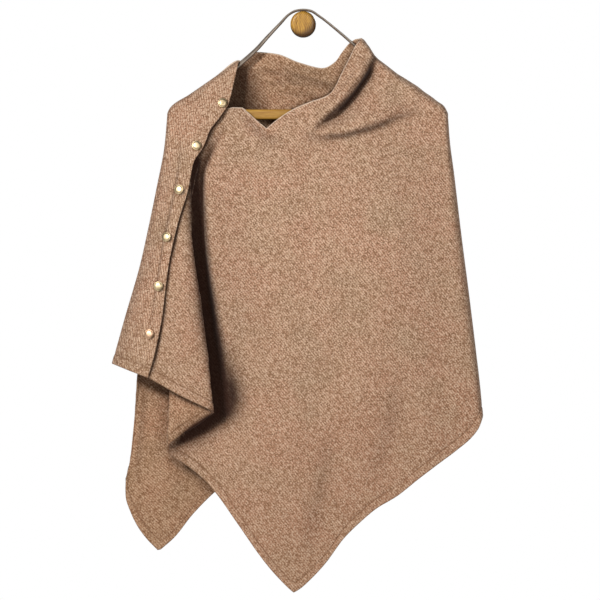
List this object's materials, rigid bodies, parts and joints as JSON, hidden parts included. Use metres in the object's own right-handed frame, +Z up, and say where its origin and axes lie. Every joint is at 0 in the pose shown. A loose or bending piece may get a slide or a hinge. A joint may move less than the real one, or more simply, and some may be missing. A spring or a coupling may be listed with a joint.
{
  "type": "poncho on a strap hanger and wall peg",
  "caption": "Knitted buttoned poncho draped over a bar hanger whose flat strap hangs on a round wooden wall peg; asymmetric hem with two tips and a cowl neck.",
  "frame": {"origin": "middle of the peg's flat back face, on the wall", "axes": "+Z up, +X to the right as seen from the front, +Y into the wall"},
  "size_m": [0.5941, 0.1182, 0.935],
  "materials": {
    "knit": "fine heathered stockinette knit, matt",
    "wood": "honey-coloured wood, light satin",
    "leather": "grey-brown leather, matt",
    "gold": "pale gold, polished"
  },
  "bodies": {
    "root": {"front": "knit", "back": "knit", "left_wrap": "knit", "button_1": "gold", "button_2": "gold", "button_3": "gold", "button_4": "gold", "button_5": "gold", "button_6": "gold", "hanger_bar": "wood", "hanger_strap": "leather", "wall_peg": "wood"}
  },
  "joints": []
}
